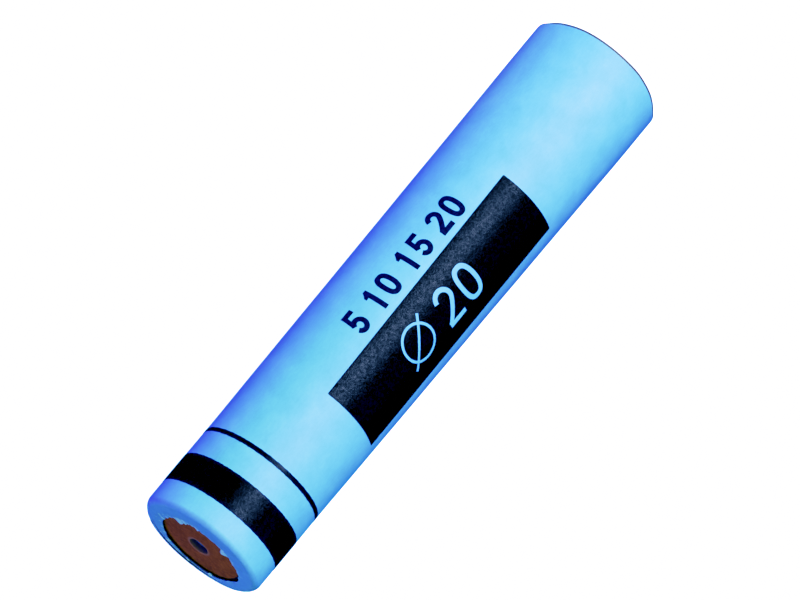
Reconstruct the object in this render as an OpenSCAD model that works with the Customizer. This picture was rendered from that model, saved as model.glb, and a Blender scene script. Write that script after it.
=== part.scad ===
/* [Sleeve] */
// Length of the formed sleeve, from the rolled base to the open mouth
sleeve_length = 98.9; // [85:0.1:120]
// Radius of the bore at the base end
base_bore_r = 10.0; // [9.95:0.05:10.75]
// Radius of the bore at the open mouth
mouth_bore_r = 10.8; // [10.05:0.05:12.5]
// Thickness of one turn of paper
paper_t = 0.15; // [0.1:0.01:0.18]
// Length of the straight stretch of bore at the base
base_straight = 13.2; // [8:0.1:20]
// Length of the straight stretch of bore at the mouth
mouth_straight = 10; // [5:0.5:20]

/* [Rolled rim] */
// Outer radius of the rolled shoulder
shoulder_r = 1.8; // [1.6:0.1:2.4]
// Width of the flat ring that the sleeve stands on
ring_flat = 0.5; // [0.3:0.1:0.7]
// Radius of the round opening inside the rolled rim
rim_opening_r = 6.85; // [6.3:0.05:7.1]
// How far the edge of the rim is pressed in behind the ring
rim_dish = 0.1; // [0.05:0.05:0.3]

/* [Lap seam] */
// Width of the lap where the tail of the sheet is glued down
lap_width = 9; // [6:0.5:12]
// Width of the glue line under the lap
glue_width = 5; // [3:0.5:8]
// Thickness of the glue line
glue_t = 0.03; // [0.02:0.01:0.08]
// Angle of the middle of the lap, from straight up
lap_angle = 127; // [120:1:135]

/* [Base disc] */
// Radius of the board disc
disc_r = 8.9; // [8:0.05:8.95]
// Thickness of the board disc
disc_t = 1.0; // [0.6:0.1:2]
// Distance of the disc's outer face from the base plane
disc_seat = 0.65; // [0.65:0.01:0.8]
// Radius of the punched vent hole
vent_r = 1.65; // [1:0.05:2.5]
// How far the vent hole is off the disc's centre
vent_offset = 0.5; // [0:0.1:1]

/* [Print] */
// Thickness of the ink film
ink_t = 0.03; // [0.02:0.01:0.1]
// Lean of the print to the side of the sleeve, in degrees
print_skew = 1.3; // [0:0.1:3]
// Lean of the printed rings away from the panel's side, in degrees
print_tip = 1.7; // [0:0.1:2]
// Distance of the wide band from the base plane
wide_band_x = 4.2; // [3.4:0.05:7.5]
// Width of the wide band
wide_band_w = 5.2; // [3:0.05:6]
// Distance of the thin line from the base plane
thin_band_x = 13.9; // [13.5:0.05:20]
// Width of the thin line
thin_band_w = 0.65; // [0.4:0.05:1.5]
// Distance of the panel from the base plane
panel_x = 27.8; // [22:0.05:30]
// Length of the panel
panel_l = 44.2; // [40:0.1:50]
// Half of the panel's width, measured straight across
panel_half = 5.9; // [5:0.05:6.2]
// Angle of the middle of the panel, from straight up
panel_angle = -48.5; // [-60:0.5:-40]
// Height of the row of numerals above the panel
row_height = 4.3; // [3:0.1:5]
// Distance of the row of numerals from the base plane
row_x = 37.9; // [30:0.1:45]
// Angle of the middle of the row of numerals
row_angle = 3.6; // [0:0.1:10]
// Height of the numerals in the panel
panel_digit_h = 6.3; // [5:0.1:7]

/* [Hidden] */
$fn = 96;
wall = 2 * paper_t;
R0 = base_bore_r + wall;           // outside radius at the base
R1 = mouth_bore_r + wall;          // outside radius at the mouth
xa = shoulder_r;                   // where the wall starts
xb = xa + base_straight;           // where the draft starts
xc = sleeve_length - mouth_straight; // where the draft ends
slope = (R1 - R0) / (xc - xb);     // draft of the outside
deg = 180 / PI;
print_front = -17;                 // angle of the line along the wall that the print is set out from

// Outside radius of the plain wall at a distance x from the base plane
function wall_r(x) = x < xb ? R0 : x > xc ? R1 : R0 + (x - xb) * slope;

// Turns a body of revolution about Z into one about the sleeve's axis, in the row's frame
module lay() translate([-sleeve_length / 2, 0, R1]) rotate([0, 90, 0]) children();

// Carries a flat drawing to the wall: X along the sleeve, Y round it, Z outwards
module on_wall(theta) translate([-sleeve_length / 2, 0, R1]) rotate([-theta, 0, 0]) children();

// A turned layer of the wall between two distances, from inner offset a to outer offset b
module layer(x0, x1, a, b, from = 0, sweep = 360)
    lay() rotate([0, 0, from]) rotate_extrude(angle = sweep)
        polygon(concat(
            [[wall_r(x0) + a, x0]],
            x0 < xb && x1 > xb ? [[R0 + a, xb]] : [],
            x0 < xc && x1 > xc ? [[R1 + a, xc]] : [],
            [[wall_r(x1) + a, x1], [wall_r(x1) + b, x1]],
            x0 < xc && x1 > xc ? [[R1 + b, xc]] : [],
            x0 < xb && x1 > xb ? [[R0 + b, xb]] : [],
            [[wall_r(x0) + b, x0]]));

// Outer turn of the paper sheet
module outer_turn() color([0.47, 0.83, 0.97])
    layer(xa, sleeve_length, -paper_t, 0);

// Inner turn of the same sheet, pressed against the outer one
module inner_turn() color([0.20, 0.36, 0.72])
    layer(xa, sleeve_length, -wall, -paper_t);

// Base end of the sheet, rolled in over the disc: shoulder, standing ring and pressed-in lip
module rolled_rim() color([0.30, 0.58, 0.90])
    lay() rotate_extrude() {
        intersection() {
            translate([R0 - shoulder_r, shoulder_r]) difference() {
                circle(shoulder_r);
                circle(shoulder_r - wall);
            }
            translate([R0 - shoulder_r, 0]) square(shoulder_r);
        }
        translate([R0 - shoulder_r - ring_flat, 0]) square([ring_flat, wall]);
        polygon([
            [R0 - shoulder_r - ring_flat, 0],
            [R0 - shoulder_r - ring_flat, wall],
            [rim_opening_r, wall + rim_dish],
            [rim_opening_r, rim_dish]]);
    }

// Glue line that holds the tail of the sheet down
module seam_glue() color([0.85, 0.82, 0.70])
    layer(xa + 2, sleeve_length - 1, 0, glue_t,
        from = 180 - lap_angle - glue_width / R0 / 2 * deg, sweep = glue_width / R0 * deg);

// Tail of the sheet, lapped over the outer turn on the side away from the print
module seam_flap() color([0.47, 0.83, 0.97])
    layer(xa, sleeve_length, glue_t, glue_t + paper_t,
        from = 180 - lap_angle - lap_deg / 2, sweep = lap_deg);

// Board disc behind the rolled rim, with its punched vent hole
module base_disc() color([0.42, 0.24, 0.17])
    lay() translate([0, 0, disc_seat]) difference() {
        cylinder(r = disc_r, h = disc_t);
        translate([vent_offset * 0.674, vent_offset * 0.739, -1]) cylinder(r = vent_r, h = disc_t + 2);
    }

// One ring of ink, leaning with the print: round the outer turn up to the lap, then over the lap
lap_deg = lap_width / R0 * deg;
module ink_ring(x, w) intersection() {
    union() {
        layer(x - 0.7, x + w + 1.3, 0, ink_t, from = 180 - lap_angle + lap_deg / 2 + 0.1, sweep = 359.8 - lap_deg);
        layer(x - 0.7, x + w + 1.3, glue_t + paper_t, glue_t + paper_t + ink_t,
            from = 180 - lap_angle - lap_deg / 2, sweep = lap_deg);
    }
    on_wall(print_front) translate([x + w / 2, 0, R0]) rotate([0, -print_tip, print_skew])
        translate([-w / 2, -30, -40]) cube([w, 60, 60]);
}

// Wide printed band near the base
module printed_wide_band() color([0.02, 0.03, 0.10]) ink_ring(wide_band_x, wide_band_w);

// Thin printed line above the wide band
module printed_thin_band() color([0.02, 0.03, 0.10]) ink_ring(thin_band_x, thin_band_w);

// Flat strokes that the numerals are drawn with
module stadium(w, h) {
    translate([w / 2, w / 2]) circle(w / 2);
    translate([w / 2, h - w / 2]) circle(w / 2);
    translate([0, w / 2]) square([w, h - w]);
}
module bar(a, b, s)
    translate(a) rotate([0, 0, atan2(b[1] - a[1], b[0] - a[0])])
        translate([0, -s / 2]) square([norm(b - a), s]);

// Numerals in a box of width w and height h, with strokes s wide
module numeral_0(w, h, s) difference() {
    stadium(w, h);
    translate([s, s]) stadium(w - 2 * s, h - 2 * s);
}
module numeral_1(w, h, s)
    polygon([[w * 0.42, 0], [w * 0.42 + s, 0], [w * 0.42 + s, h], [w * 0.42 + s * 0.3, h],
        [w * 0.36, h * 0.87], [w * 0.02, h * 0.83], [w * 0.02, h * 0.71], [w * 0.42, h * 0.71]]);
module numeral_2(w, h, s) {
    y = h - w / 2;
    square([w, s]);
    polygon([[0, s * 0.8], [s * 1.3, s * 0.8], [w - 0.02, y - 0.1], [w - s * 1.1, y - 0.1]]);
    intersection() {
        translate([w / 2, y]) difference() {
            circle(w / 2);
            circle(w / 2 - s);
        }
        translate([-0.5, y - 0.3]) square([w + 1, w]);
    }
}
module numeral_5(w, h, s) {
    rb = 0.33 * h;
    translate([0.13 * w, h - s]) square([0.80 * w, s]);
    translate([0.13 * w, h * 0.45]) square([s * 0.9, h * 0.5]);
    difference() {
        translate([w - rb, rb]) circle(rb);
        translate([w - rb, rb]) circle(rb - s);
        translate([-0.5, 0.23 * h]) square([w - rb + 0.3, h * 0.235]);
    }
}
module numeral(d, w, h, s) {
    if (d == 0) numeral_0(w, h, s);
    if (d == 1) numeral_1(w, h, s);
    if (d == 2) numeral_2(w, h, s);
    if (d == 5) numeral_5(w, h, s);
}

// The count scale above the panel: its numerals and where each one starts
row_digits = [5, 1, 0, 1, 5, 2, 0];
row_starts = [0, 4.75, 7.85, 12.6, 15.7, 20.5, 23.6];
digit_w = 2.85;
digit_s = 0.72;

module printed_numerals() color([0.02, 0.03, 0.25]) intersection() {
    layer(row_x - 2, row_x + 30, 0, ink_t);
    on_wall(row_angle) translate([row_x + 13.2, 0, 5]) rotate([0, 0, print_skew])
        linear_extrude(10) translate([-13.2, -row_height / 2])
            for (i = [0 : len(row_digits) - 1])
                translate([row_starts[i], 0]) numeral(row_digits[i], digit_w, row_height, digit_s);
}

// Dark panel, with a round mark and a number left open in it
module printed_panel() color([0.02, 0.03, 0.10]) intersection() {
    layer(panel_x - 2, panel_x + panel_l + 2, 0, ink_t);
    on_wall(panel_angle) translate([panel_x + panel_l / 2, 0, 5]) rotate([0, 0, print_skew]) linear_extrude(10)
        difference() {
            translate([-panel_l / 2, -panel_half]) square([panel_l, 2 * panel_half]);
            translate([-6.8, 0]) {
                difference() {
                    circle(3.1);
                    circle(2.58);
                }
                bar([-2.95, -3.0], [2.95, 3.0], 0.52);
            }
            translate([-1.2, -panel_digit_h / 2]) numeral(2, 3.95, panel_digit_h, 0.75);
            translate([3.5, -panel_digit_h / 2]) numeral(0, 3.95, panel_digit_h, 0.75);
        }
}

outer_turn();
inner_turn();
rolled_rim();
seam_glue();
seam_flap();
base_disc();
printed_panel();
printed_numerals();
printed_wide_band();
printed_thin_band();
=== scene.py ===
import bpy, math
import numpy as np
from mathutils import Vector, Matrix
from mathutils.geometry import delaunay_2d_cdt


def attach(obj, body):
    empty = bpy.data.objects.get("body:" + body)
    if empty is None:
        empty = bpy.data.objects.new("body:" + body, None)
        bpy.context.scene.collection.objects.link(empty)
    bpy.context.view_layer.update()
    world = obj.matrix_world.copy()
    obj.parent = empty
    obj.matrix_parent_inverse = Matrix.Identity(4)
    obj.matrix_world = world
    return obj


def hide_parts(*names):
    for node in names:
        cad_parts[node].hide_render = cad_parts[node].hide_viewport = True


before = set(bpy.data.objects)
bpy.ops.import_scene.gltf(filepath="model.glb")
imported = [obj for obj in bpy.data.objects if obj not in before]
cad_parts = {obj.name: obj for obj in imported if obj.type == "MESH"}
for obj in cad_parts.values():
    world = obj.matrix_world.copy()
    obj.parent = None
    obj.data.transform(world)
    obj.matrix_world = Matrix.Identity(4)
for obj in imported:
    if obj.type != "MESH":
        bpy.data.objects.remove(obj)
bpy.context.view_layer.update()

# ---------------------------------------------------------------- measures, mm
MM = 0.001
L, R0, R1 = 98.9, 10.3, 11.1          # length, outside radius at the base and at the mouth
XB, XC = 15.0, 88.9                   # where the draft starts and ends
T = 0.15                              # one turn of paper
ZA, XH = 11.1, 49.45                  # height of the axis, half of the length
TC = math.radians(-17.0)              # the line along the wall that faces the camera
FLAP_END, FLAP_ROOT = math.radians(102.5), math.radians(152.0)
GLUE = 0.03
INK = 0.028
rng = np.random.default_rng(20)


def wall(x):
    return np.interp(x, [XB, XC], [R0, R1])


def wave(x, th):
    """Slight unevenness of a rolled paper wall, mm."""
    x = np.asarray(x, float)
    fade = np.clip((x - 2.0) / 6.0, 0, 1)
    up = smooth(-1.0, -0.7, np.cos(th))                  # nothing stands out below the line it rests on
    return fade * (0.010 * np.sin(2 * th + 0.6 + 0.020 * x) + 0.008 * np.sin(3 * th - 1.1 - 0.035 * x)
                   + 0.006 * np.sin(0.19 * x + 1.3 + np.cos(th)) + 0.004 * np.sin(0.47 * x + 2 * th)
                   - 0.028 * (1 - up) + (0.022 + 0.045 * np.clip((x - 76.0) / 16.0, 0, 1)) * up
                   + 0.06 * np.clip((x - 88.0) / 9.0, 0, 1) * bump_at(np.asarray(th, float), TC + math.radians(94), math.radians(22)))


def smooth(a, b, v):
    t = np.clip((v - a) / (b - a), 0, 1)
    return t * t * (3 - 2 * t)


def bump_at(th, centre, half, power=2.0):
    d = np.abs((th - centre + math.pi) % (2 * math.pi) - math.pi)
    return np.exp(-((d / half) ** power))


def to_row(x, y, z):
    """Sleeve coordinates (x from the base plane, y and z from the axis), mm, to the row frame in metres."""
    x, y, z = np.broadcast_arrays(x, y, z)
    return np.stack([x - XH, y, z + ZA], -1) * MM


def on_wall(x, th, off=0.0):
    r = wall(x) + wave(x, th) + off
    return to_row(x, r * np.sin(th), r * np.cos(th))


# ---------------------------------------------------------------- mesh helpers
def add_mesh(name, verts, faces, attrs=None, sharp=40.0, mat_index=None):
    me = bpy.data.meshes.new(name)
    me.from_pydata([tuple(v) for v in np.asarray(verts, float)], [], [tuple(int(i) for i in f) for f in faces])
    me.update()
    if mat_index is not None:
        me.polygons.foreach_set("material_index", np.asarray(mat_index, np.int32))
    for key, val in (attrs or {}).items():
        a = me.attributes.new(key, "FLOAT", "POINT")
        a.data.foreach_set("value", np.asarray(val, np.float32).ravel())
    me.shade_smooth()
    if sharp:
        me.set_sharp_from_angle(angle=math.radians(sharp))
    ob = bpy.data.objects.new(name, me)
    bpy.context.scene.collection.objects.link(ob)
    return ob


def grid_faces(nr, nc, close_r=False, close_c=True, flip=False):
    i = np.arange(nr if close_r else nr - 1)
    j = np.arange(nc if close_c else nc - 1)
    I, J = np.meshgrid(i, j, indexing="ij")
    I2, J2 = (I + 1) % nr, (J + 1) % nc
    q = np.stack([I * nc + J, I * nc + J2, I2 * nc + J2, I2 * nc + J], -1).reshape(-1, 4)
    return q[:, ::-1] if flip else q


def outward(ob):
    """Faces look away from the solid: checked by the signed volume, and turned if it is negative."""
    me = ob.data
    me.calc_loop_triangles()
    co = np.empty(len(me.vertices) * 3); me.vertices.foreach_get("co", co); co = co.reshape(-1, 3)
    tri = np.empty(len(me.loop_triangles) * 3, np.int32); me.loop_triangles.foreach_get("vertices", tri)
    a, b, c = (co[tri.reshape(-1, 3)[:, k]] for k in range(3))
    if np.einsum("ij,ij->i", a, np.cross(b, c)).sum() < 0:
        me.flip_normals()
    return ob


# ---------------------------------------------------------------- shape of the rolled base
def phi_of(th):
    return TC - th                    # positive to the right in the photograph


def shoulder(th):
    """Radius of the rolled shoulder: tight on the near side, wide on the far side."""
    p = phi_of(th)
    full = 1.93 + 0.012 * np.sin(p) - 1.00 * np.cos(p) + 0.46 * np.cos(2 * p)
    away = np.abs((p + math.pi) % (2 * math.pi) - math.pi)
    return full * (0.56 + 0.44 * smooth(math.radians(62), math.radians(104), away))


def face_x(th):
    p = phi_of(th)
    return np.maximum(-0.03 + 0.11 * np.sin(p) + 0.03 * np.cos(p), -0.10)


LONG = 1.30                           # the shoulder is longer along the sleeve than across it


def shoulder_at(th, a, inset=0.0):
    """x and radius on the shoulder, from a = 0 at the wall to a quarter turn at the standing ring."""
    rs, x0 = shoulder(th), face_x(th)
    return rs * LONG - (rs * LONG - x0 - inset) * np.sin(a), R0 - rs + (rs - inset) * np.cos(a)


PLEATS = [(a + rng.uniform(-4, 4), rng.uniform(1.8, 3.4), rng.uniform(0.25, 1.0)) for a in range(0, 360, 12)]


def pleat(th):
    v = np.zeros_like(th)
    for a, w, h in PLEATS:
        v += h * bump_at(th, math.radians(a), math.radians(w))
    return v


# pale creases on the standing ring: angle, radius, half width along the radius and across it, mm
CREASES = [(63.8, 7.85, 0.17, 0.19), (65.6, 7.62, 0.17, 0.20), (67.6, 7.38, 0.17, 0.20), (69.6, 7.14, 0.17, 0.20), (71.2, 6.94, 0.17, 0.20), (84.0, 7.12, 0.2, 0.10), (56.5, 7.5, 0.14, 0.16), (62.0, 7.1, 0.16, 0.07), (76.0, 7.9, 0.22, 0.05),
           (48.0, 7.3, 0.20, 0.06), (38.0, 6.95, 0.30, 0.16), (22.0, 6.75, 0.20, 0.22), (4.0, 7.0, 0.34, 0.05), (-40.0, 6.7, 0.30, 0.26), (-52.0, 7.1, 0.2, 0.05),
           (125.3, 6.95, 0.16, 0.16), (160.6, 6.75, 0.13, 0.2), (195.3, 6.85, 0.14, 0.2), (-95.0, 7.1, 0.14, 0.14), (-88.0, 7.7, 0.3, 0.05), (110.0, 7.5, 0.3, 0.05)]


def creases(th, r):
    v = np.zeros(np.broadcast(th, r).shape)
    for a, rr_c, hl, hw in CREASES:
        d = np.abs((th - math.radians(a) + math.pi) % (2 * math.pi) - math.pi) * rr_c
        v = np.maximum(v, np.exp(-(d / hw) ** 2 - ((r - rr_c) / hl) ** 4))
    return v


# tabs and nicks of the torn lip: angle, half width in degrees, how far inwards in mm, how pale
TABS = [(-90.0, 9.0, -0.26, 0.0), (-107.0, 13.0, -0.34, 0.0), (60.0, 7.0, -0.12, 0.0), (8.0, 3.0, 0.24, 0.5), (-64.0, 5.0, 0.20, 0.6), (-79.0, 8.0, 0.0, 0.55), (31.5, 5.4, 1.08, 1.0), (22.0, 4.6, 0.72, 0.9), (14.5, 2.2, 0.20, 0.5), (1.2, 3.2, 0.64, 1.0), (-8.0, 3.0, 0.14, 0.3), (-21.0, 4.0, 0.16, 0.3), (-33.0, 3.0, 0.12, 0.4), (-41.0, 2.6, 0.45, 1.0), (-46.5, 4.6, 1.02, 1.0), (-58.0, 3.0, 0.18, 0.4),
        (70.8, 2.4, 0.16, 0.8), (56.0, 3.0, 0.16, 0.5), (46.0, 2.2, 0.12, 0.4), (125.3, 2.6, 0.18, 1.0), (160.6, 3.0, 0.20, 1.0), (195.3, 3.0, 0.24, 1.0),
        (143.0, 2.4, 0.08, 0.3), (178.0, 3.0, 0.08, 0.4), (212.0, 2.0, 0.06, 0.3), (228.0, 2.6, 0.14, 0.5), (246.0, 3.0, 0.10, 0.4), (264.0, 2.4, 0.12, 0.6), (278.0, 3.0, 0.14, 0.5), (97.0, 2.8, 0.10, 0.4), (110.0, 2.0, 0.06, 0.3)]


def lip_radius(th):
    p = phi_of(th)
    r = 6.86 + 0.16 * np.sin(p) + 0.035 * np.sin(9 * th + 1) + 0.03 * np.sin(14 * th + 2.2) + 0.02 * np.sin(31 * th)
    for a, w, d, _ in TABS:
        r = r - d * bump_at(th, math.radians(a), math.radians(w), 3.0)
    return r


def torn_at(th):
    v = np.full_like(th, 0.10)
    for a, w, _, k in TABS:
        v = np.maximum(v, k * bump_at(th, math.radians(a), math.radians(w * 1.15), 3.0))
    return v


# ---------------------------------------------------------------- outer sheet: wall, shoulder and rolled-in rim in one piece
NT = 720
TH = np.linspace(0, 2 * math.pi, NT, endpoint=False)
rs = shoulder(TH); pl = pleat(TH); rl = lip_radius(TH); torn_th = torn_at(TH)
front = smooth(-0.05, 0.45, np.cos(phi_of(TH) - 0.09))          # 1 on the camera's side of the mouth
mouth_out = L - 0.03 - 0.05 * (1 - np.cos(TH - 1.0)) + 0.009 * 10.5 * (np.sin(phi_of(TH)) - 1) * 0.5 + 0.16 * front
mouth_out = mouth_out + 0.13 * front + 0.10 * bump_at(phi_of(TH), math.radians(33), math.radians(26)) - 0.13 * bump_at(phi_of(TH), math.radians(-66), math.radians(14)) - 0.10 * bump_at(phi_of(TH), math.radians(68), math.radians(12))
mouth_out = mouth_out - 0.145 * front - 0.06 * bump_at(phi_of(TH), math.radians(42), math.radians(13)) - 0.09 * bump_at(phi_of(TH), math.radians(-42), math.radians(13)) + 0.12 * bump_at(phi_of(TH), math.radians(-84), math.radians(10))
mouth_out = mouth_out + 0.05 * bump_at(phi_of(TH), math.radians(26), math.radians(9)) - 0.12 * bump_at(phi_of(TH), math.radians(-53), math.radians(12)) - 0.17 * bump_at(phi_of(TH), math.radians(60), math.radians(11)) + 0.06 * bump_at(phi_of(TH), math.radians(-84), math.radians(9))
mouth_out = mouth_out - 0.24 * bump_at(phi_of(TH), math.radians(-67), math.radians(9)) - 0.16 * bump_at(phi_of(TH), math.radians(-84), math.radians(11)) - 0.10 * bump_at(phi_of(TH), math.radians(88), math.radians(10)) - 0.26 * bump_at(phi_of(TH), math.radians(72), math.radians(9))


def outer_profile():
    """Rows of (x, r, torn, edge, inside) round the cross-section of the sheet, each an array over TH."""
    rows = []
    z = np.zeros(NT)
    # wall, from the mouth to the shoulder
    # painted shade: a dark line along the mouth's cut edge, faint all round and strongest on the camera's side
    ec = 0.15 + 0.85 * front
    rows.append((mouth_out, wall(mouth_out) + wave(mouth_out, TH) - 0.045, z + 0.2, ec, z))
    rows.append((mouth_out - 0.03, wall(mouth_out) + wave(mouth_out, TH) - 0.012, z, ec, z))
    rows.append((mouth_out - 0.27, wall(mouth_out) + wave(mouth_out, TH), z, ec, z))
    rows.append((mouth_out - 0.34, wall(mouth_out) + wave(mouth_out, TH), z, z, z))
    xs = np.concatenate([[L - 0.62], np.linspace(L - 1.3, 5.6, 84)])
    for k, x in enumerate(xs):
        xx = np.full(NT, x)
        rows.append((xx, wall(xx) + wave(xx, TH), z, z, z))
    # shoulder, with painted shade: a dark line painted along its turn on the far side
    ph = phi_of(TH)
    turn = np.arctan(np.maximum(-3.3 * np.cos(ph), 0.0))
    # painted shade along the shoulder's turn on the far side, carried by the edge attribute
    painted_shade = 0.95 * bump_at(ph, math.radians(-132), math.radians(42), 4) + 0.80 * bump_at(ph, math.radians(175), math.radians(28), 4) + 0.35 * bump_at(ph, math.radians(128), math.radians(20), 4)
    painted_shade_ring = 0.95 * bump_at(ph, math.radians(-150), math.radians(36), 4) + 0.90 * bump_at(ph, math.radians(172), math.radians(30), 4)
    painted_shade_ring = np.minimum(painted_shade_ring, 0.95)
    for a in np.linspace(0, math.pi / 2, 25):
        g = smooth(0.35, 1.45, a) * 0.045 * pl
        x, r = shoulder_at(TH, a)
        dk = painted_shade * (1 - smooth(turn + 0.36, turn + 0.60, np.full(NT, a)))
        rows.append((x + g * math.sin(a), r - g * math.cos(a) + (wave(x, TH) if a == 0 else 0), z, dk if a > 0.3 else z, z))
    # standing ring and pressed-in lip
    r_in = R0 - rs
    x0 = face_x(TH)
    xl = 0.12 + 0.03 * np.sin(5 * TH + 0.4) + 0.02 * np.sin(11 * TH) + 0.09 * torn_th * np.sin(17 * TH)
    for w in np.concatenate([np.linspace(0.05, 0.8, 16), [0.85, 0.89, 0.93, 0.96, 0.985, 1.0]]):
        r = r_in + (rl - r_in) * w
        x = x0 + 0.045 * pl + (xl - x0 - 0.03 * pl) * smooth(0.25, 1.0, w)
        cr = creases(TH, r)
        near_lip = 0.75 * smooth(0.80, 0.96, w)
        sunk = (r_in - r) * 0.37 + (x - x0) * 0.93
        # painted shade carried on over the outer edge of the standing ring on the far side
        dk = painted_shade_ring * (1 - smooth(0.07, 0.16, sunk))
        mark = torn_th * np.maximum(1 - smooth(6.80 + 0.30 * torn_th, 7.12 + 0.30 * torn_th, r), near_lip)
        rows.append((x - 0.035 * cr, r, np.clip(mark + 0.85 * cr, 0, 1), dk, z))
    # torn edge, then the back of the lip
    t_edge = 0.13
    x1, r1 = rows[-1][0], rows[-1][1]
    rows.append((x1 + 0.3 * t_edge, r1 - 0.035, torn_th, z, z))
    rows.append((x1 + 0.8 * t_edge, r1 - 0.02, torn_th * 0.8, z, z + 1))
    for w in (0.85, 0.6, 0.3, 0.0):
        th_ = t_edge + (0.3 - t_edge) * (1 - w)
        rows.append((x0 + (x1 - x0) * w + 0.045 * pl * 0.5 + th_, r_in + (rl - r_in) * w, z, z, z + 1))
    for a in np.linspace(math.pi / 2, 0, 12)[1:]:
        x, r = shoulder_at(TH, a, 0.3)
        rows.append((x, r, z, z, z + 1))
    # inside of the outer turn, hidden by the inner turn
    for x in np.concatenate([[4.6], np.linspace(6, L - 4, 24), [L - 1.0]]):
        xx = np.full(NT, x)
        rows.append((xx, wall(xx) + wave(xx, TH) - T + 0.004, z, z, z + 1))
    xx = mouth_out - 0.02
    rows.append((xx, wall(xx) + wave(xx, TH) - T + 0.02, z + 0.6, z, z + 1))
    # the painted shade of the mouth's cut edge reaches its inner corner
    rows.append((mouth_out, wall(mouth_out) + wave(mouth_out, TH) - T + 0.045, z + 0.5, z + 0.6, z))
    return rows


rows = outer_profile()
X = np.stack([r[0] for r in rows]); RR = np.stack([r[1] for r in rows])
V = to_row(X, RR * np.sin(TH), RR * np.cos(TH)).reshape(-1, 3)
q = grid_faces(len(rows), NT, close_r=True)
inside = np.stack([r[4] for r in rows]).reshape(-1)
xr, phr = X, phi_of(np.broadcast_to(TH, X.shape))
# painted light: a greener, less blue patch on the wall towards the base, standing in for the colour of the light
# falling there
painted_light_tint = bump_at(phr, math.radians(-31), math.radians(19)) * (1.0 - 0.35 * smooth(4.0, 14.0, xr) - 0.65 * smooth(28.0, 56.0, xr)) * smooth(0.5, 1.8, xr)
# painted light: a lighter patch on the left-hand side of the wall towards the mouth
pale = bump_at(phr, math.radians(-72), math.radians(18)) * smooth(64.0, 86.0, xr)
# painted shade: a darker band along the right-hand side of the wall, widening towards the mouth; towards the base it
# takes out mostly red
deep = bump_at(phr, math.radians(87), np.radians(10.0 + 4.5 * smooth(50.0, 72.0, xr)))
outer_sheet = add_mesh("outer_sheet", V, q, {"painted_light_tint": painted_light_tint, "pale": pale, "deep": deep * smooth(20.0, 42.0, xr), "deep_base": deep * (1 - smooth(20.0, 42.0, xr)) * smooth(1.5, 3.0, xr),
    "torn": np.stack([r[2] for r in rows]), "edge": np.stack([r[3] for r in rows])}, sharp=50,
    mat_index=(inside[q].min(1) > 0.5).astype(int))
outward(outer_sheet)

# ---------------------------------------------------------------- inner turn, with the start of the sheet showing as a step in the bore
TI = np.sort(np.concatenate([np.linspace(0, 2 * math.pi, 300, endpoint=False), FLAP_ROOT + np.radians([-0.02, 0.05, 0.6, 1.2, 2.0, 3.1, 4.3, 5.0])]))
step = np.where((TI > FLAP_ROOT) & (TI < FLAP_ROOT + math.radians(6)), 0.125 * (1 - smooth(FLAP_ROOT, FLAP_ROOT + math.radians(6), TI)), 0.0)
mouth_in = L - 0.16 - 0.05 * (1 + np.sin(2 * TI + 0.5))
rows_i = []
zi = np.zeros(len(TI))
xs = np.concatenate([[3.95, 4.1], np.linspace(6, L - 3, 40), [L - 0.6]])
for x in xs:
    xx = np.full(len(TI), x)
    rows_i.append((xx, wall(xx) + wave(xx, TI) - T - 0.008, zi))
rows_i.append((mouth_in - 0.02, wall(mouth_in) + wave(mouth_in, TI) - T - 0.008, zi + 0.5))
rows_i.append((mouth_in, wall(mouth_in) + wave(mouth_in, TI) - T - 0.03, zi + 1))
rows_i.append((mouth_in, wall(mouth_in) + wave(mouth_in, TI) - 2 * T + 0.02 + step * 0.9, zi + 1))
rows_i.append((mouth_in - 0.02, wall(mouth_in) + wave(mouth_in, TI) - 2 * T + step, zi + 0.4))
for x in xs[::-1]:
    xx = np.full(len(TI), x)
    rows_i.append((xx, wall(xx) + wave(xx, TI) - 2 * T + step, zi))
X = np.stack([r[0] for r in rows_i]); RR = np.stack([r[1] for r in rows_i])
inner_sheet = add_mesh("inner_sheet", to_row(X, RR * np.sin(TI), RR * np.cos(TI)).reshape(-1, 3),
                       grid_faces(len(rows_i), len(TI), close_r=True),
                       {"torn": np.stack([r[2] for r in rows_i]), "edge": np.stack([r[2] * 0 for r in rows_i])}, sharp=35)
outward(inner_sheet)


# ---------------------------------------------------------------- lapped tail of the sheet and its glue line
def skin(u, th, off):
    """A point of the outer skin: u is the distance along the sleeve, and past the shoulder's start the arc length round it."""
    start = shoulder(th) * LONG
    a = np.clip((start - u) / (0.5 * (start + shoulder(th))), 0, math.pi / 2)
    on = u < start
    xs_, rs_ = shoulder_at(th, a)
    x = np.where(on, xs_ - off * np.sin(a), u)
    r = np.where(on, rs_ + off * np.cos(a), wall(u) + wave(u, th) + off)
    return x, r


def flap_top(th):
    """Height of the lap above the outer turn at an angle, mm. It starts where the sheet climbs over its own beginning."""
    d = (th + math.pi) % (2 * math.pi) - math.pi
    up = 1 - smooth(math.radians(149), math.radians(157), d)
    return np.where((d > FLAP_END) & (d < math.radians(157.5)), (GLUE + T - 0.005) * up, 0.0)


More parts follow.
